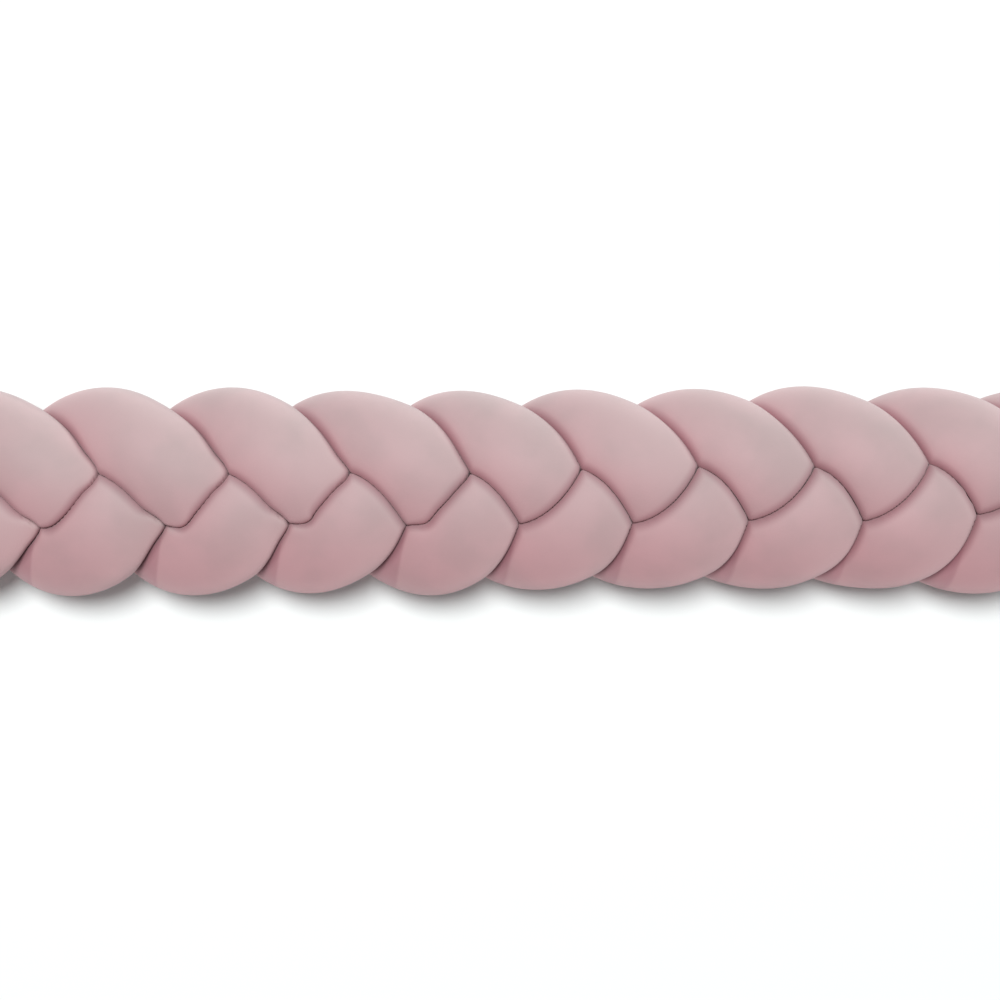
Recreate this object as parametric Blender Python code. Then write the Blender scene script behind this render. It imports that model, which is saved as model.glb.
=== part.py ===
"""Crib bumper: a flat three-strand plait of stuffed velour tubes, lying on its back.

Metres, +Z up. The bumper runs along X, is about 0.16 wide along Y, and rests on Z = 0 with the
middle of its underside at the origin. Each strand is one stuffed tube, so it is one closed solid.
Strands press on each other: each one fills the part of its own round tube that lies nearer to its
own centre line than to a neighbour's, with soft edges along the creases.

Lobes are counted along the bumper. Even lobes bulge to +Y and odd lobes to -Y, and lobe n belongs
to strand n mod 3. The phase of a point is its place in lobes, so a strand repeats every 6 phases.
The shapes are worked out for a plait of round tubes, which is then squashed in height.
"""

import bpy
import numpy as np

# Sizes in metres
LENGTH = 1.200              # between the strands' sewn tips
STRAND_RADIUS = 0.0455      # of a stuffed tube where nothing presses on it
CROSSING_RISE = 0.0215      # centre line above or below the middle layer where strands cross
SQUASH = 0.70               # height of the plait over that of a plait of round tubes
FLOOR_FLATTENING = 0.005    # how much of a low spot is pressed flat by what it lies on
STRAND_GAP = 0.0028         # between the faces of two strands, whose flat facets come closer
CREASE_ROUNDING = 0.006     # radius of the edge where a strand turns into a crease

# Shape of a strand's swing from edge to edge
SWING_SQUARENESS = 0.18     # third harmonic, which straightens the middle of the swing
CROSSING_LAG = 0.04         # turn of the swing by which the rise at a crossing comes late

# Sizes that change evenly along the plait: at the table's first row, and at its last row
LEAN = (-0.27, 0.09)        # of the lobes, in X for each Y
ROLL = (0.08, -0.04)        # of the whole plait about its length, in Z for each Y
DRAG = (0.0, 0.0095)        # shift along X, forward where a strand is on top and back below
SKEW = (0.0025, 0.0070)     # shift along X, forward on the way to -Y and back on the way to +Y

# One row a lobe: its number, its place along X, how far its edge reaches from the middle line, and
# how far the crest is shifted along X
LOBE_COLUMNS = ("number", "place", "reach", "crest")
LOBES = (
    (-1, -0.336, 0.0800, -0.006),
    (0, -0.292, 0.0800, 0.003),
    (1, -0.240, 0.0795, -0.007),
    (2, -0.195, 0.0800, 0.000),
    (3, -0.149, 0.0780, -0.006),
    (4, -0.105, 0.0775, -0.006),
    (5, -0.057, 0.0795, -0.004),
    (6, -0.016, 0.0775, -0.007),
    (7, 0.026, 0.0750, -0.006),
    (8, 0.068, 0.0785, -0.005),
    (9, 0.111, 0.0740, -0.004),
    (10, 0.155, 0.0790, -0.005),
    (11, 0.197, 0.0740, -0.001),
    (12, 0.240, 0.0810, -0.009),
    (13, 0.280, 0.0740, 0.005),
    (14, 0.326, 0.0800, -0.006),
    (15, 0.365, 0.0780, 0.000),
    (16, 0.407, 0.0790, -0.004),
)
PLAIN_REACH = 0.079         # of the lobes past the table
PHASES_BEFORE = 3.5         # from the table's first lobe back to where the plait stops
PHASES_AFTER = 2.5          # from its last lobe on to where the plait stops

# The ends, where the strands leave the plait side by side and are sewn together at their tips
END_PHASES = 1.75           # from where the plait stops to the tips
STOP_PHASES = 0.8           # over which the swing eases to a stop, before and after that place
END_SPREAD = 0.25           # share by which the strands draw apart, to lie side by side
END_THINNING = 0.60         # share by which a strand thins
END_DROOP = 0.012           # how far the tips sink below the middle layer
TIP_RADIUS = STRAND_RADIUS * (1 - END_THINNING)

# The mesh
RINGS = 166                 # evenly spaced between the round tips
TIP_RINGS = 2               # more of them on each round tip
SIDES = 17
RING_TURN = 0.8             # share of a strand's heading that its rings turn by
SAMPLES_PER_PHASE = 25      # points along a centre line
SEARCH_PHASES = 1.6         # how far along a centre line its nearest point is looked for
CAST_STEPS = 26             # halvings that find the surface along a ray

STRANDS = 3
VELOUR_PINK = (0.56, 0.34, 0.37, 1.0)
VELOUR_ROUGHNESS = 0.85

TABLE = dict(zip(LOBE_COLUMNS, np.array(LOBES).T))
PLAIT_START = TABLE["number"][0] - PHASES_BEFORE
PLAIT_END = TABLE["number"][-1] + PHASES_AFTER
PLAIN_LOBES = 9             # plain lobes added at each end of the table


def with_plain_lobes(values, step_before, step_after):
    """A column of the table, carried on by even steps past both of its ends."""
    away = np.arange(1, PLAIN_LOBES + 1)
    before = values[0] - step_before * away[::-1]
    after = values[-1] + step_after * away
    return np.concatenate([before, values, after])


NUMBERS = with_plain_lobes(TABLE["number"], 1, 1)
PLACES = with_plain_lobes(
    TABLE["place"],
    (LENGTH / 2 + TABLE["place"][0]) / (PHASES_BEFORE + END_PHASES),
    (LENGTH / 2 - TABLE["place"][-1]) / (PHASES_AFTER + END_PHASES),
)
REACHES = with_plain_lobes(TABLE["reach"], 0, 0)
REACHES[:PLAIN_LOBES] = REACHES[-PLAIN_LOBES:] = PLAIN_REACH
CRESTS = with_plain_lobes(TABLE["crest"], 0, 0)
CRESTS[:PLAIN_LOBES] = CRESTS[-PLAIN_LOBES:] = 0


def between_lobes(values, phase):
    """Catmull-Rom curve through one value a lobe, read at any phase."""
    away = abs(phase[:, None] - NUMBERS)
    near = 1 - 2.5 * away ** 2 + 1.5 * away ** 3
    far = 2 - 4 * away + 2.5 * away ** 2 - 0.5 * away ** 3
    weights = np.where(away < 1, near, np.where(away < 2, far, 0))
    return weights @ values


def changing(ends, phase):
    """A size that changes evenly from the table's first lobe to its last one."""
    return np.interp(phase, TABLE["number"][[0, -1]], ends)


def end_share(phase):
    """0 along the plait, rising smoothly to 1 from where it stops to the tips."""
    past = np.maximum(phase - PLAIT_END, PLAIT_START - phase)
    share = np.clip(past / END_PHASES, 0, 1)
    return share ** 2 * (3 - 2 * share)


def eased_past(past):
    """How far past a stop the swing is held back: 0 well before it, and the whole way after."""
    near = np.clip(past / STOP_PHASES, -1, 1)
    return np.maximum(STOP_PHASES * (near + 1) ** 2 / 4, past)


def centre_line(strand, phase):
    """Points of a strand's centre line, in a plait of round tubes about the middle layer."""
    reached = phase - eased_past(phase - PLAIT_END) + eased_past(PLAIT_START - phase)
    turn = np.pi * (reached - strand) / STRANDS
    side = (-1) ** strand
    plaited = 1 - end_share(phase)
    swing = (np.cos(turn) + SWING_SQUARENESS * np.cos(3 * turn)) / (1 + SWING_SQUARENESS)
    spread = 1 + END_SPREAD * (1 - plaited)
    y = side * (between_lobes(REACHES, phase) - STRAND_RADIUS) * swing * spread
    rise = CROSSING_RISE * np.sin(2 * (turn - CROSSING_LAG))
    z = rise * plaited - END_DROOP / SQUASH * (1 - plaited)
    drag = changing(DRAG, phase) * np.sin(2 * turn)
    skew = changing(SKEW, phase) * side * np.sin(turn)
    crest = between_lobes(CRESTS, phase) * swing ** 2
    shift = changing(LEAN, phase) * y + drag + skew + crest
    x = between_lobes(PLACES, phase) + shift * plaited
    roll = changing(ROLL, phase) * plaited
    return np.stack([x, y - roll * z, z + roll * y], axis=-1)


def tube_radius(phase, x):
    """Radius of a strand's round tube, thinned at the ends and rounded off at the tips."""
    thinned = STRAND_RADIUS * (1 - END_THINNING * end_share(phase))
    round_off = np.clip((abs(x) - (LENGTH / 2 - TIP_RADIUS)) / TIP_RADIUS, 0, 1)
    return thinned * np.sqrt(1 - round_off ** 2)


FIRST_PHASE = PLAIT_START - END_PHASES
LAST_PHASE = PLAIT_END + END_PHASES
PHASES = np.linspace(FIRST_PHASE, LAST_PHASE, int((LAST_PHASE - FIRST_PHASE) * SAMPLES_PER_PHASE))
LINES = [centre_line(strand, PHASES) for strand in range(STRANDS)]
RADII = [tube_radius(PHASES, line[:, 0]) for line in LINES]
REST_HEIGHT = STRAND_RADIUS + CROSSING_RISE - FLOOR_FLATTENING / SQUASH


def distance_and_radius(points, samples, strand):
    """Distance from each point to a strand's centre line, and the tube's radius there.

    The nearest of the samples around each ring is found, then refined on the parabola
    through its squared distance and those of the samples on both sides of it.
    """
    reach = int(SEARCH_PHASES * SAMPLES_PER_PHASE)
    window = samples[:, None] + np.arange(-reach, reach + 1)
    window = np.clip(window, 0, len(PHASES) - 1)
    offsets = points[:, :, None, :] - LINES[strand][window][:, None, :, :]
    squares = (offsets ** 2).sum(axis=-1)
    nearest = np.clip(squares.argmin(axis=-1), 1, squares.shape[-1] - 2)[..., None]
    before, at, after = (
        np.take_along_axis(squares, nearest + step, axis=-1)[..., 0] for step in (-1, 0, 1)
    )
    bend = np.maximum(before - 2 * at + after, 1e-12)
    shift = np.clip((before - after) / (2 * bend), -1, 1)
    square = at - (before - after) * shift / 4
    radii = RADII[strand][window]
    rows = np.arange(len(samples))[:, None]
    column = nearest[..., 0]
    radius = radii[rows, column] + shift * (radii[rows, column + 1] - radii[rows, column - 1]) / 2
    return np.sqrt(np.maximum(square, 0)), radius


def outside(points, samples, strand):
    """Below zero inside a strand as its neighbours and the floor press it."""
    found = [distance_and_radius(points, samples, other) for other in range(STRANDS)]
    distance, radius = found.pop(strand)
    own = distance - radius
    pressed = (distance - np.minimum(found[0][0], found[1][0])) / 2 + STRAND_GAP / 2
    corner = np.hypot(
        np.maximum(own + CREASE_ROUNDING, 0), np.maximum(pressed + CREASE_ROUNDING, 0)
    )
    soft = np.where(corner > 0, corner - CREASE_ROUNDING, np.maximum(own, pressed))
    return np.maximum(soft, -points[..., 2] - REST_HEIGHT)


def ring_places(length):
    """Places of the rings along a centre line: evenly spaced, and closer on its round tips."""
    turns = np.pi / 2 * np.arange(1, TIP_RINGS + 1) / (TIP_RINGS + 1)
    from_tip = TIP_RADIUS * (1 - np.cos(turns))
    along = np.linspace(TIP_RADIUS, length - TIP_RADIUS, RINGS)
    return np.concatenate([from_tip, along, length - from_tip[::-1]])


def strand_surface(strand):
    """Rings of points on a strand's skin, and its two tips.

    Rays are cast from the centre line, evenly around it in an upright plane that turns part
    of the way with the strand. Each is halved until it meets the place where outside() is 0.
    """
    line = LINES[strand]
    lengths = np.concatenate([[0], np.cumsum(np.linalg.norm(np.diff(line, axis=0), axis=1))])
    places = ring_places(lengths[-1])
    samples = np.searchsorted(lengths, places)
    centres = np.stack([np.interp(places, lengths, column) for column in line.T], axis=-1)
    heading = np.gradient(line[:, :2], axis=0)[samples]
    turned = RING_TURN * np.arctan2(heading[:, 1], heading[:, 0])
    angles = 2 * np.pi * np.arange(SIDES) / SIDES
    rays = np.stack([
        -np.sin(turned)[:, None] * np.cos(angles),
        np.cos(turned)[:, None] * np.cos(angles),
        np.broadcast_to(np.sin(angles), (len(places), SIDES)),
    ], axis=-1)
    low = np.zeros(rays.shape[:2] + (1,))
    high = np.full_like(low, 2 * STRAND_RADIUS)
    for _ in range(CAST_STEPS):
        middle = (low + high) / 2
        is_out = outside(centres[:, None] + middle * rays, samples, strand)[..., None] > 0
        high = np.where(is_out, middle, high)
        low = np.where(is_out, low, middle)
    rings = centres[:, None] + low * rays
    return rings.reshape(-1, 3), line[[0, -1]]


def settle(points):
    """Squash the height and set the pressed low spots exactly on the floor."""
    settled = points.copy()
    settled[:, 2] = SQUASH * (points[:, 2] + REST_HEIGHT)
    settled[settled[:, 2] < 1e-5, 2] = 0.0
    return settled


def velour(name):
    """Plain stand-in for the soft pink velour."""
    material = bpy.data.materials.new(name)
    material.use_nodes = True
    shader = material.node_tree.nodes["Principled BSDF"]
    shader.inputs["Base Color"].default_value = VELOUR_PINK
    shader.inputs["Roughness"].default_value = VELOUR_ROUGHNESS
    shader.inputs["Metallic"].default_value = 0.0
    return material


def add_strand(strand):
    """One stuffed tube of the plait, closed by a point at each tip."""
    name = "strand_" + "abc"[strand]
    rings, tips = strand_surface(strand)
    vertices = settle(np.concatenate([rings, tips]))
    start, end = len(rings), len(rings) + 1
    last = len(rings) - SIDES
    faces = []
    for side in range(SIDES):
        beside = (side + 1) % SIDES
        faces.append((start, beside, side))
        for ring in range(0, last, SIDES):
            faces.append((ring + side, ring + beside, ring + SIDES + beside, ring + SIDES + side))
        faces.append((end, last + side, last + beside))
    mesh = bpy.data.meshes.new(name)
    mesh.from_pydata(vertices.tolist(), [], faces)
    mesh.shade_smooth()
    mesh.materials.append(velour(name + "_velour"))
    bpy.context.collection.objects.link(bpy.data.objects.new(name, mesh))


for old in list(bpy.data.objects):
    bpy.data.objects.remove(old, do_unlink=True)
for number in range(STRANDS):
    add_strand(number)
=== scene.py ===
"""Looks of the plaited crib bumper: three stuffed velour tubes, a white table and soft light."""

import math

import bpy
import numpy as np
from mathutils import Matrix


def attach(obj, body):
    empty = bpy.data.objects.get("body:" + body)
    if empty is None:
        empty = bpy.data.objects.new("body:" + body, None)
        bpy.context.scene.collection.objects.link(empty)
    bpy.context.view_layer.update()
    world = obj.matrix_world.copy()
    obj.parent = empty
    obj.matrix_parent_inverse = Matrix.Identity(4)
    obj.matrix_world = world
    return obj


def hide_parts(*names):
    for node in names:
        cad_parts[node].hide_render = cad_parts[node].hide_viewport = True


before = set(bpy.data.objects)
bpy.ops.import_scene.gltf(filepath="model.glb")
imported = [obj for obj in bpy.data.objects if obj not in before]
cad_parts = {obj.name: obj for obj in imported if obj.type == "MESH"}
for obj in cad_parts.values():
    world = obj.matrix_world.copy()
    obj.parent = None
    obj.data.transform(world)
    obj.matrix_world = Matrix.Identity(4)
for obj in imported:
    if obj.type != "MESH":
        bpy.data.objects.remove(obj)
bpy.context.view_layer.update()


# ---------------------------------------------------------------------------------------------
# The three strands: tubes of dusty-pink velour, sewn shut lengthwise, stuffed tight with fibre,
# plaited flat and sewn together at the tips. Where they cross they press on each other and on
# what they lie on. All three are alike, so they are made by the same functions.
# ---------------------------------------------------------------------------------------------

LENGTH = 1.200              # between the sewn tips, in metres as all sizes here
TUBE_RADIUS = 0.0455        # of a stuffed tube where nothing presses on it
CROSSING_RISE = 0.0215      # centre line above or below the middle layer at a crossing
SQUASH = 0.70               # height of the plait over that of a plait of round tubes
FLOOR_FLATTENING = 0.005    # how much of a low spot is pressed flat by what it lies on
CREASE_GAP = 0.0001         # between the velour of two strands that press on each other
CREASE_ROUNDING = 0.0045    # radius of the edge where a strand turns into a crease
CREASE_SHADE_REACH = 0.010      # how far from a crease the painted shade in it reaches

SWING_SQUARENESS = 0.18     # third harmonic, which straightens the middle of the swing
CROSSING_LAG = 0.04         # turn of the swing by which the rise at a crossing comes late

# Sizes that change evenly along the plait: at the table's first row, and at its last row
LEAN = (-0.27, 0.09)        # of the lobes, in X for each Y
ROLL = (0.08, -0.04)        # of the whole plait about its length, in Z for each Y
DRAG = (0.0, 0.0095)        # shift along X, forward where a strand is on top and back below
SKEW = (0.0025, 0.0070)     # shift along X, forward on the way to -Y and back on the way to +Y

# Bulges where a strand pushes a crease aside, one row each: the strand, the bulge's place in X and
# Y, its radius, and its push, which is below zero where the strand is the one that gives way
BULGES = np.array([
    # The right sides of the tips of three upper lobes, and a nick beside one of them
    (0, -0.243, -0.019, 0.010, 0.0035),
    (2, -0.150, -0.019, 0.010, 0.0035),
    (2, -0.143, -0.016, 0.003, 0.0007),
    (1, -0.058, -0.023, 0.011, 0.0030),
    # Low lobes, where they push at the left sides of three such tips
    (0, -0.354, -0.025, 0.010, 0.0030),
    (2, -0.260, -0.022, 0.010, 0.0030),
    (1, -0.165, -0.021, 0.010, 0.0030),
    # The tips of four upper lobes, which give way and so are blunt
    (1, -0.350, -0.029, 0.009, -0.0035),
    (0, -0.252, -0.029, 0.011, -0.0060),
    (2, -0.155, -0.028, 0.011, -0.0050),
    (1, -0.062, -0.028, 0.011, -0.0025),
    # The right corners of the same four lobes
    (1, -0.308, 0.017, 0.011, 0.0030),
    (0, -0.209, 0.017, 0.011, 0.0025),
    (2, -0.116, 0.016, 0.011, 0.0020),
    (1, -0.024, 0.016, 0.011, 0.0010),
])

# One row a lobe: its number, its place along X, how far its edge reaches from the middle line, and
# how far the crest is shifted along X
LOBES = np.array([
    (-1, -0.336, 0.0800, -0.006),
    (0, -0.292, 0.0800, 0.003),
    (1, -0.240, 0.0795, -0.007),
    (2, -0.195, 0.0800, 0.000),
    (3, -0.149, 0.0780, -0.006),
    (4, -0.105, 0.0775, -0.006),
    (5, -0.057, 0.0795, -0.004),
    (6, -0.016, 0.0775, -0.007),
    (7, 0.026, 0.0750, -0.006),
    (8, 0.068, 0.0785, -0.005),
    (9, 0.111, 0.0740, -0.004),
    (10, 0.155, 0.0790, -0.005),
    (11, 0.197, 0.0740, -0.001),
    (12, 0.240, 0.0810, -0.009),
    (13, 0.280, 0.0740, 0.005),
    (14, 0.326, 0.0800, -0.006),
    (15, 0.365, 0.0780, 0.000),
    (16, 0.407, 0.0790, -0.004),
])
PLAIN_REACH = 0.079         # of the lobes past the table
PHASES_BEFORE = 3.5         # from the table's first lobe back to where the plait stops
PHASES_AFTER = 2.5          # from its last lobe on to where the plait stops
END_PHASES = 1.75           # from where the plait stops to the tips
STOP_PHASES = 0.8           # over which the swing eases to a stop, before and after that place
END_SPREAD = 0.25           # share by which the strands draw apart, to lie side by side
END_THINNING = 0.60         # share by which a strand thins
END_DROOP = 0.012           # how far the tips sink below the middle layer
TIP_RADIUS = TUBE_RADIUS * (1 - END_THINNING)

RINGS = 860                 # rings of points along a strand, between its round tips
TIP_RINGS = 8               # more of them on each round tip
SIDES = 110                 # points on a ring
RING_TURN = 0.6             # share of a strand's heading that its rings turn by
SAMPLES_PER_PHASE = 16      # points kept of a centre line
SEARCH_PHASES = 1.6         # how far along a centre line its nearest point is looked for
LEAST_BEND = 1e-12          # of the squared distances, so that nothing is divided by 0
HALVINGS = 16               # of the span in which a ray meets the skin

PLAIT_START = LOBES[0, 0] - PHASES_BEFORE
PLAIT_END = LOBES[-1, 0] + PHASES_AFTER
PLAIN_LOBES = 9             # plain lobes added at each end of the table
REST_HEIGHT = TUBE_RADIUS + CROSSING_RISE - FLOOR_FLATTENING / SQUASH


def with_plain_lobes(values, step_before, step_after):
    """A column of the table, carried on by even steps past both of its ends."""
    away = np.arange(1, PLAIN_LOBES + 1)
    before = values[0] - step_before * away[::-1]
    after = values[-1] + step_after * away
    return np.concatenate([before, values, after])


NUMBERS = with_plain_lobes(LOBES[:, 0], 1, 1)
PLACES = with_plain_lobes(
    LOBES[:, 1],
    (LENGTH / 2 + LOBES[0, 1]) / (PHASES_BEFORE + END_PHASES),
    (LENGTH / 2 - LOBES[-1, 1]) / (PHASES_AFTER + END_PHASES),
)
REACHES = with_plain_lobes(LOBES[:, 2], 0, 0)
REACHES[:PLAIN_LOBES] = PLAIN_REACH
REACHES[-PLAIN_LOBES:] = PLAIN_REACH
CRESTS = with_plain_lobes(LOBES[:, 3], 0, 0)
CRESTS[:PLAIN_LOBES] = 0
CRESTS[-PLAIN_LOBES:] = 0


def between_lobes(values, phase):
    """Catmull-Rom curve through one value a lobe, read at any phase: a cubic weight of each
    lobe within 2 of the phase, 1 at the lobe itself and 0 at every other lobe."""
    away = abs(phase[:, None] - NUMBERS)
    near = 1 - 2.5 * away ** 2 + 1.5 * away ** 3
    far = 2 - 4 * away + 2.5 * away ** 2 - 0.5 * away ** 3
    return np.where(away < 1, near, np.where(away < 2, far, 0)) @ values


def changing(ends, phase):
    """A size that changes evenly from the table's first lobe to its last one."""
    return np.interp(phase, LOBES[[0, -1], 0], ends)


def smooth_step(value):
    """0 below 0, 1 above 1, and a smooth S between them."""
    share = np.clip(value, 0, 1)
    return share ** 2 * (3 - 2 * share)


def end_share(phase):
    """0 along the plait, rising in a smooth S from where it stops to 1 at the tips."""
    past = np.maximum(phase - PLAIT_END, PLAIT_START - phase)
    return smooth_step(past / END_PHASES)


def eased_past(past):
    """How far past a stop the swing is held back: 0 well before it, then a parabola, and the
    whole way after it."""
    near = np.clip(past / STOP_PHASES, -1, 1)
    return np.maximum(STOP_PHASES * (near + 1) ** 2 / 4, past)


def centre_line(strand, phase):
    """Points of a strand's centre line, about the middle layer of a plait of round tubes.

    The phase counts lobes, six to a turn. Y swings from edge to edge as a cosine with some of
    its third harmonic, and Z rises and falls twice as often, so that each strand goes over one
    neighbour and under the other. X follows the lobes' places, leans with Y, is dragged forward
    on top and back below, and shifts with each crest. The whole plait rolls a little about X.
    """
    reached = phase - eased_past(phase - PLAIT_END) + eased_past(PLAIT_START - phase)
    turn = np.pi * (reached - strand) / 3
    side = (-1) ** strand
    plaited = 1 - end_share(phase)
    swing = (np.cos(turn) + SWING_SQUARENESS * np.cos(3 * turn)) / (1 + SWING_SQUARENESS)
    spread = 1 + END_SPREAD * (1 - plaited)
    y = side * (between_lobes(REACHES, phase) - TUBE_RADIUS) * swing * spread
    rise = CROSSING_RISE * np.sin(2 * (turn - CROSSING_LAG))
    z = rise * plaited - END_DROOP / SQUASH * (1 - plaited)
    drag = changing(DRAG, phase) * np.sin(2 * turn)
    skew = changing(SKEW, phase) * side * np.sin(turn)
    crest = between_lobes(CRESTS, phase) * swing ** 2
    shift = changing(LEAN, phase) * y + drag + skew + crest
    x = between_lobes(PLACES, phase) + shift * plaited
    roll = changing(ROLL, phase) * plaited
    return np.stack([x, y - roll * z, z + roll * y], axis=-1)


def round_radius(phase, x):
    """Radius of a strand's round tube: thinned at the ends, and a half ball at each tip."""
    thinned = TUBE_RADIUS * (1 - END_THINNING * end_share(phase))
    round_off = np.clip((abs(x) - (LENGTH / 2 - TIP_RADIUS)) / TIP_RADIUS, 0, 1)
    return thinned * np.sqrt(1 - round_off ** 2)


# Painted shadow: where a strand comes out from under its neighbour to a low lobe, the neighbour's
# shadow is painted on its pile, up to a slanting line across the lobe
PAINTED_SHADOW_BEFORE = 0.0220      # from the lobe's place back to that line, at the lobe's edge
PAINTED_SHADOW_SLANT = 0.20         # of the line, in X for each Y
PAINTED_SHADOW_FADE = 0.004         # over which the painted shadow fades out
PAINTED_SHADOW_DEPTH = 0.012        # below the middle layer, where it ends
PAINTED_SHADOW_START = -0.9         # phase from the lobe where it begins
PAINTED_SHADOW_WHOLE = -0.6         # phase from the lobe where the painted shadow is at its darkest
PAINTED_SHADOW_END = 1.0            # phase from the lobe past which there is none


def painted_shadow_share(points, phase, strand):
    """1 where the neighbour's shadow is painted on a strand before a low lobe, and 0 where there
    is none.

    The strand's low lobes are six phases apart, and only those of the plait itself count. The
    share is the product of three smooth S curves. They rise under the neighbour, fall to 0 at
    the slanting line, and fall to 0 below the middle layer.
    """
    from_lobe = (phase + 2 * strand) % 6 - 3
    lobe = phase - from_lobe
    line = np.interp(lobe, NUMBERS, PLACES) - PAINTED_SHADOW_BEFORE
    line += PAINTED_SHADOW_SLANT * (points[..., 1] + PLAIN_REACH)
    begun = smooth_step((from_lobe - PAINTED_SHADOW_START) / (PAINTED_SHADOW_WHOLE - PAINTED_SHADOW_START))
    here = (from_lobe < PAINTED_SHADOW_END) & (lobe > PLAIT_START) & (lobe < PLAIT_END)
    on_top = smooth_step(points[..., 2] / PAINTED_SHADOW_DEPTH + 1)
    return begun * smooth_step((line - points[..., 0]) / PAINTED_SHADOW_FADE) * on_top * here


FIRST_PHASE = PLAIT_START - END_PHASES
LAST_PHASE = PLAIT_END + END_PHASES
PHASES = np.linspace(FIRST_PHASE, LAST_PHASE, int((LAST_PHASE - FIRST_PHASE) * SAMPLES_PER_PHASE))
LINES = [centre_line(strand, PHASES) for strand in range(3)]


def nearest_on_line(points, hubs, samples, strand):
    """Distance from each point to a strand's centre line, and the nearest place on the line.

    points are measured from their ring's hub. The nearest kept point of the line around each
    ring is found from the squared distances, then refined on the parabola through it and the
    ones on both sides of it. The place counts kept points.
    """
    reach = int(SEARCH_PHASES * SAMPLES_PER_PHASE)
    start = np.clip(samples - reach, 0, len(PHASES) - 2 * reach - 1)
    window = start[:, None] + np.arange(2 * reach + 1)
    line = LINES[strand][window] - hubs[:, None]
    squares = (points ** 2).sum(axis=-1)[..., None] - 2 * points @ line.transpose(0, 2, 1)
    squares += (line ** 2).sum(axis=-1)[:, None]
    nearest = np.clip(squares.argmin(axis=-1), 1, squares.shape[-1] - 2)
    before, at, after = (
        np.take_along_axis(squares, nearest[..., None] + step, axis=-1)[..., 0]
        for step in (-1, 0, 1)
    )
    bend = np.maximum(before - 2 * at + after, LEAST_BEND)
    shift = np.clip((before - after) / (2 * bend), -1, 1)
    square = at - (before - after) * shift / 4
    return np.sqrt(np.maximum(square, 0)), start[:, None] + nearest + shift


def own_and_pressed(points, hubs, samples, strand):
    """How far points lie outside a strand's round tube, and past its middle gap to a neighbour.

    A point is past the middle where it lies nearer to a neighbour's centre line than to the
    strand's own one: half the difference of the two distances, and half the gap. A bulge makes
    its strand seem nearer by twice its push at the bulge's place, and less around it, as a bell
    curve falls.
    """
    found = [nearest_on_line(points, hubs, samples, other) for other in range(3)]
    distance, place = found[strand]
    seeming = np.stack([other_distance for other_distance, _ in found])
    flat = (points + hubs[:, None])[..., :2]
    for pusher, *bulge, size, push in BULGES:
        share = np.exp(-((flat - bulge) ** 2).sum(axis=-1) / size ** 2)
        seeming[int(pusher)] -= 2 * push * share
    others = np.delete(seeming, strand, axis=0)
    pressed = (seeming[strand] - others.min(axis=0)) / 2 + CREASE_GAP / 2
    kept = np.arange(len(PHASES))
    phase = np.interp(place, kept, PHASES)
    radius = round_radius(phase, np.interp(place, kept, LINES[strand][:, 0]))
    return distance - radius, pressed


def outside(points, hubs, samples, strand):
    """Below zero inside a strand as its neighbours and the floor press it.

    A strand is the part of its round tube that doesn't lie past the middle of the gap to a
    neighbour. The edge between its round and its pressed faces is rounded by a quarter circle,
    and the floor cuts off what would sink below it.
    """
    own, pressed = own_and_pressed(points, hubs, samples, strand)
    corner = np.hypot(
        np.maximum(own + CREASE_ROUNDING, 0), np.maximum(pressed + CREASE_ROUNDING, 0)
    )
    soft = np.where(corner > 0, corner - CREASE_ROUNDING, np.maximum(own, pressed))
    return np.maximum(soft, -(points + hubs[:, None])[..., 2] - REST_HEIGHT)


def skin(strand):
    """Rings of points on a strand's skin, then its two tips, and each one's marks.

    Rays are cast from the centre line, evenly around it in an upright plane that turns part
    of the way with the strand. Each span is halved until it closes on the place where
    outside() is 0. The height is then squashed, and low spots lie exactly on the floor. The
    marks steer painted shade and shadow: how near a crease is, 1 in it and evenly down to 0 where
    the crease's painted shade ends, and how far the neighbour's painted shadow falls on the
    strand.
    """
    line = LINES[strand]
    lengths = np.concatenate([[0], np.cumsum(np.linalg.norm(np.diff(line, axis=0), axis=1))])
    turns = np.pi / 2 * np.arange(1, TIP_RINGS + 1) / (TIP_RINGS + 1)
    from_tip = TIP_RADIUS * (1 - np.cos(turns))
    along = np.linspace(TIP_RADIUS, lengths[-1] - TIP_RADIUS, RINGS)
    places = np.concatenate([from_tip, along, lengths[-1] - from_tip[::-1]])
    samples = np.searchsorted(lengths, places)
    hubs = np.stack([np.interp(places, lengths, column) for column in line.T], axis=-1)
    heading = np.arctan2(*np.gradient(line[:, :2], axis=0).T[::-1])
    turned = RING_TURN * np.interp(places, lengths, heading)
    angles = 2 * np.pi * np.arange(SIDES) / SIDES
    rays = np.stack([
        -np.sin(turned)[:, None] * np.cos(angles),
        np.cos(turned)[:, None] * np.cos(angles),
        np.broadcast_to(np.sin(angles), (len(places), SIDES)),
    ], axis=-1)
    low = np.zeros((len(places), SIDES, 1))
    high = np.full_like(low, 2 * TUBE_RADIUS)
    for _ in range(HALVINGS):
        middle = (low + high) / 2
        is_out = outside(middle * rays, hubs, samples, strand)[..., None] > 0
        high = np.where(is_out, middle, high)
        low = np.where(is_out, low, middle)
    met = (low + high) / 2 * rays
    rings = hubs[:, None] + met
    pressed = own_and_pressed(met, hubs, samples, strand)[1]
    place = nearest_on_line(met, hubs, samples, strand)[1]
    # How far the neighbour's painted shadow falls here; the crease mark below steers painted
    # crease shade
    painted_shadow = painted_shadow_share(rings, np.interp(place, np.arange(len(PHASES)), PHASES), strand)
    marks = {"crease": np.clip(1 + pressed / CREASE_SHADE_REACH, 0, 1), "painted_shadow": painted_shadow}
    points = np.concatenate([rings.reshape(-1, 3), line[[0, -1]]])
    points[:, 2] = np.maximum(SQUASH * (points[:, 2] + REST_HEIGHT), 0)
    return points, {name: np.append(mark, [0, 0]) for name, mark in marks.items()}


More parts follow.
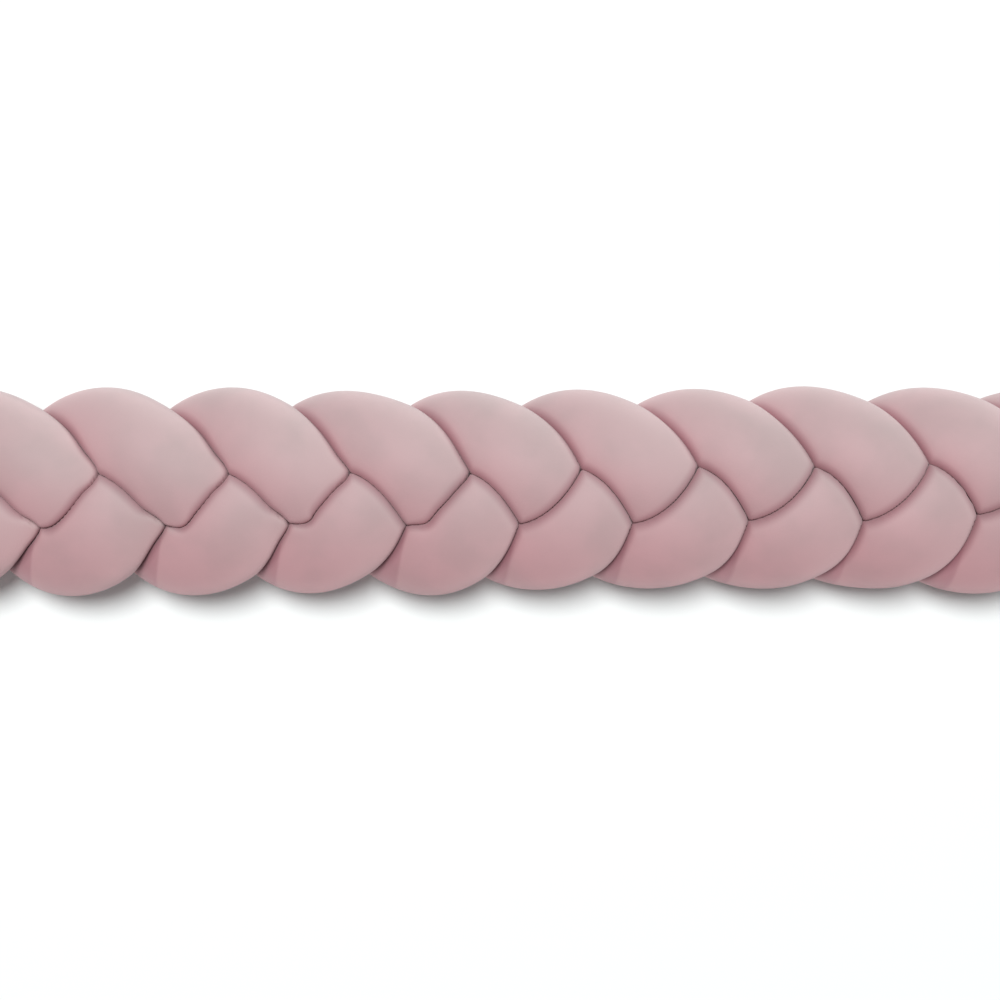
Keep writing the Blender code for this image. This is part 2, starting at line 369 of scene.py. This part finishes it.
NAP_AND_HIGHLIGHT_TOWARDS = (0.74, 0.66, 0.10)            # the way of the nap and of the painted highlight: skin that faces it is paler and greyer
PAINTED_SHADE_TOWARDS = (-0.42, 0.05, 0.91)         # the way the skin faces where the painted shade is deepest: up, and a little to -X
DOWN = (0, 0, -1)

# How far the skin faces those ways where each change of colour begins and ends
NAP_AND_HIGHLIGHT_RANGE = (-0.8, 0.9)
END_ON_RANGE = (0.1, 1.0)
SIDE_RANGE = (-0.4, 0.2)

DEEP_PINK_SHADED = (0.72, 0.366, 0.396, 1.0)       # skin that faces against that way: painted shade, partly the nap's own deeper colour
PALE_PINK_LIT = (0.615, 0.452, 0.457, 1.0)      # skin that faces along that way: painted greyish highlight, partly the nap's own paler colour
END_ON_PAINTED_SHADE = (0.65, 0.68, 0.68, 1.0)      # painted shade for velour seen end-on, on skin that faces up and a little to -X
UNDERSIDE_PAINTED_SHADE = (0.82, 0.78, 0.79, 1.0)        # painted shade on skin that faces sideways and down
RUFFLED_SHADE = (0.90, 0.94, 0.93, 1.0)     # patches where the pile is ruffled
RUFFLED_RANGE = (0.35, 0.7)                 # of the noise, where a patch begins and is whole
RUFFLED_SIZE = 1 / 22                       # of the patches
CREASE_PAINTED_SHADE = (0.70, 0.57, 0.61, 1.0)      # painted shade in a crease, where little light gets in
CREASE_RANGE = (0.7, 1.0)                   # of its mark, where the shade begins and is whole
PAINTED_SHADOW_COLOUR = (0.83, 0.73, 0.77, 1.0)      # painted shadow that the neighbour casts before a low lobe
PAINTED_SHADOW_RANGE = (0.0, 1.0)                   # of its mark
PILE_SIZE = 1 / 900                         # of a tuft
PILE_HEIGHT = 0.0004
PILE_STRENGTH = 0.25
SHEEN_TINT = (1.0, 0.98, 0.98, 1.0)


def ranged(nodes, links, value, span):
    """A value as a share that goes in a smooth S from 0 at the span's start to 1 at its end."""
    share = nodes.new("ShaderNodeMapRange")
    share.interpolation_type = "SMOOTHSTEP"
    start, end = span
    share.inputs["From Min"].default_value = start
    share.inputs["From Max"].default_value = end
    links.new(value, share.inputs["Value"])
    return share.outputs["Result"]


def facing(nodes, links, way):
    """How far the skin faces a way, from -1 to 1: the product of its normal with the way."""
    place = nodes.new("ShaderNodeTexCoord")
    slope = nodes.new("ShaderNodeVectorMath")
    slope.operation = "DOT_PRODUCT"
    slope.inputs[1].default_value = way
    links.new(place.outputs["Normal"], slope.inputs[0])
    return slope.outputs["Value"]


def shaded(nodes, links, colour, share, shade):
    """A colour darkened by a shade, as far as a share from 0 to 1 says."""
    mix = nodes.new("ShaderNodeMix")
    mix.data_type = "RGBA"
    mix.blend_type = "MULTIPLY"
    mix.inputs["B"].default_value = shade
    links.new(share, mix.inputs["Factor"])
    links.new(colour, mix.inputs["A"])
    return mix.outputs["Result"]


def velour_finish():
    """Short-pile velour in dusty pink, with highlight, shade and shadow painted into its colour.

    The colour goes from deep to pale, greyer pink as the skin faces +X and +Y: partly the nap's
    own change of colour, partly a painted highlight on those flanks and painted shade on the
    others. It is multiplied by a painted shade where the skin faces up and a little to -X, as
    velour seen end-on looks darker, by another painted shade where it faces sideways and down, by
    a random tone in noisy ruffled patches, by painted shade in creases and by a painted shadow
    where a neighbour overhangs a low lobe. Fine noise roughens the pile.
    """
    material = bpy.data.materials.new("dusty_pink_velour")
    material.use_nodes = True
    nodes = material.node_tree.nodes
    links = material.node_tree.links
    shader = nodes["Principled BSDF"]
    shader.inputs["Roughness"].default_value = 0.6
    shader.inputs["Metallic"].default_value = 0.0
    shader.inputs["Specular IOR Level"].default_value = 0.3
    shader.inputs["Sheen Weight"].default_value = 0.2
    shader.inputs["Sheen Roughness"].default_value = 0.6
    shader.inputs["Sheen Tint"].default_value = SHEEN_TINT
    place = nodes.new("ShaderNodeTexCoord")
    # Painted highlight and shade: pale greyish pink on skin facing +X and +Y, deep pink on skin
    # turned away, partly the nap's own colour
    pink = nodes.new("ShaderNodeMix")
    pink.data_type = "RGBA"
    pink.inputs["A"].default_value = DEEP_PINK_SHADED
    pink.inputs["B"].default_value = PALE_PINK_LIT
    along_nap_and_highlight = ranged(nodes, links, facing(nodes, links, NAP_AND_HIGHLIGHT_TOWARDS), NAP_AND_HIGHLIGHT_RANGE)
    links.new(along_nap_and_highlight, pink.inputs["Factor"])
    # Painted shade on skin that faces up and a little to -X, where velour seen end-on looks darker
    end_on = ranged(nodes, links, facing(nodes, links, PAINTED_SHADE_TOWARDS), END_ON_RANGE)
    colour = shaded(nodes, links, pink.outputs["Result"], end_on, END_ON_PAINTED_SHADE)
    # Painted shade on skin that faces sideways and down
    facing_down = ranged(nodes, links, facing(nodes, links, DOWN), SIDE_RANGE)
    colour = shaded(nodes, links, colour, facing_down, UNDERSIDE_PAINTED_SHADE)
    patches = nodes.new("ShaderNodeTexNoise")
    patches.inputs["Scale"].default_value = 1 / RUFFLED_SIZE
    patches.inputs["Detail"].default_value = 3.0
    links.new(place.outputs["Object"], patches.inputs["Vector"])
    ruffled = ranged(nodes, links, patches.outputs["Fac"], RUFFLED_RANGE)
    colour = shaded(nodes, links, colour, ruffled, RUFFLED_SHADE)
    # Painted shade in creases, and painted shadow where a neighbour overhangs a low lobe
    marks = (("crease", CREASE_RANGE, CREASE_PAINTED_SHADE), ("painted_shadow", PAINTED_SHADOW_RANGE, PAINTED_SHADOW_COLOUR))
    for mark, span, shade in marks:
        share = nodes.new("ShaderNodeAttribute")
        share.attribute_name = mark
        marked = ranged(nodes, links, share.outputs["Fac"], span)
        colour = shaded(nodes, links, colour, marked, shade)
    links.new(colour, shader.inputs["Base Color"])
    pile = nodes.new("ShaderNodeTexNoise")
    pile.inputs["Scale"].default_value = 1 / PILE_SIZE
    pile.inputs["Detail"].default_value = 2.0
    links.new(place.outputs["Object"], pile.inputs["Vector"])
    grain = nodes.new("ShaderNodeBump")
    grain.inputs["Strength"].default_value = PILE_STRENGTH
    grain.inputs["Distance"].default_value = PILE_HEIGHT
    links.new(pile.outputs["Fac"], grain.inputs["Height"])
    links.new(grain.outputs["Normal"], shader.inputs["Normal"])
    return material


def stuffed_tube(strand, finish):
    """A strand as a closed mesh with its marks: quads between its rings, a fan on each tip."""
    name = "velour_tube_" + "abc"[strand]
    points, marks = skin(strand)
    rings = (len(points) - 2) // SIDES
    ring, side = np.meshgrid(np.arange(rings - 1), np.arange(SIDES), indexing="ij")
    corner = ring * SIDES + side
    beside = ring * SIDES + (side + 1) % SIDES
    quads = np.stack([corner, beside, beside + SIDES, corner + SIDES], axis=-1).reshape(-1, 4)
    around = np.arange(SIDES)
    onward = (around + 1) % SIDES
    first_tip = np.stack([np.full(SIDES, rings * SIDES), onward, around], axis=-1)
    last_ring = (rings - 1) * SIDES
    last_tip = np.stack(
        [np.full(SIDES, rings * SIDES + 1), last_ring + around, last_ring + onward], axis=-1
    )
    mesh = bpy.data.meshes.new(name)
    mesh.from_pydata(points, [], [*quads.tolist(), *first_tip.tolist(), *last_tip.tolist()])
    mesh.shade_smooth()
    for mark, shares in marks.items():
        mesh.attributes.new(mark, "FLOAT", "POINT").data.foreach_set("value", shares)
    mesh.materials.append(finish)
    tube = bpy.data.objects.new(name, mesh)
    bpy.context.scene.collection.objects.link(tube)
    return tube


velour = velour_finish()
for strand, node in enumerate(("strand_a", "strand_b", "strand_c")):
    tube = stuffed_tube(strand, velour)
    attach(tube, "root")
    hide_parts(node)


# ---------------------------------------------------------------------------------------------
# The table top: a plain white surface that the bumper lies on, so bright that only the soft
# shadow around the bumper shows on it.
# ---------------------------------------------------------------------------------------------

TABLE_SIZE = 12.0
WHITE_PAINT = (0.805, 0.845, 0.84, 1.0)
half = TABLE_SIZE / 2
top_mesh = bpy.data.meshes.new("table_top")
top_mesh.from_pydata(
    [(-half, -half, 0), (half, -half, 0), (half, half, 0), (-half, half, 0)], [], [(0, 1, 2, 3)]
)
table_top = bpy.data.objects.new("table_top", top_mesh)
bpy.context.scene.collection.objects.link(table_top)
paint = bpy.data.materials.new("white_paint")
paint.use_nodes = True
paint_shader = paint.node_tree.nodes["Principled BSDF"]
paint_shader.inputs["Base Color"].default_value = WHITE_PAINT
paint_shader.inputs["Roughness"].default_value = 1.0
paint_shader.inputs["Specular IOR Level"].default_value = 0.0
top_mesh.materials.append(paint)


# ---------------------------------------------------------------------------------------------
# The light: an evenly bright room, and one large round lamp high above the bumper's far side,
# which casts its soft shadow to the near side.
# ---------------------------------------------------------------------------------------------

ROOM_BRIGHTNESS = 0.265
LAMP_PLACE = np.array([-0.6, 3.0, 9.0])
LAMP_WIDTH = 3.9
LAMP_POWER = 990.0          # in watts

room = bpy.data.worlds.new("room")
room.use_nodes = True
room.node_tree.nodes["Background"].inputs["Color"].default_value = (1.0, 1.0, 1.0, 1.0)
room.node_tree.nodes["Background"].inputs["Strength"].default_value = ROOM_BRIGHTNESS
bpy.context.scene.world = room
lamp_data = bpy.data.lights.new("soft_lamp", "AREA")
lamp_data.shape = "DISK"
lamp_data.size = LAMP_WIDTH
lamp_data.energy = LAMP_POWER
lamp = bpy.data.objects.new("soft_lamp", lamp_data)
lamp.location = LAMP_PLACE
across, along, up = LAMP_PLACE
lamp.rotation_euler = (math.atan2(math.hypot(across, along), up), 0, math.atan2(across, -along))
lamp.visible_camera = False
bpy.context.scene.collection.objects.link(lamp)
bpy.context.scene.view_settings.view_transform = "Standard"


# ---------------------------------------------------------------------------------------------
# The camera: high above the bumper's middle, a few degrees towards its far side. It sees the
# middle 0.77 m of the plait.
# ---------------------------------------------------------------------------------------------

SENSOR_WIDTH = 36           # in millimetres, as the lens is
CAMERA_AWAY = 1.5           # from the middle layer of the plait
CAMERA_TILT = math.radians(4.5)
PICTURE_WIDTH = 0.766       # seen at that distance
PICTURE_MIDDLE = -0.006     # the Y of the picture's middle

camera_data = bpy.data.cameras.new("camera")
camera_data.sensor_width = SENSOR_WIDTH
camera_data.lens = SENSOR_WIDTH * CAMERA_AWAY / PICTURE_WIDTH
camera = bpy.data.objects.new("camera", camera_data)
camera.location = (
    0,
    PICTURE_MIDDLE + CAMERA_AWAY * math.sin(CAMERA_TILT),
    SQUASH * REST_HEIGHT + CAMERA_AWAY * math.cos(CAMERA_TILT),
)
camera.rotation_euler = (-CAMERA_TILT, 0, 0)
bpy.context.scene.collection.objects.link(camera)
bpy.context.scene.camera = camera
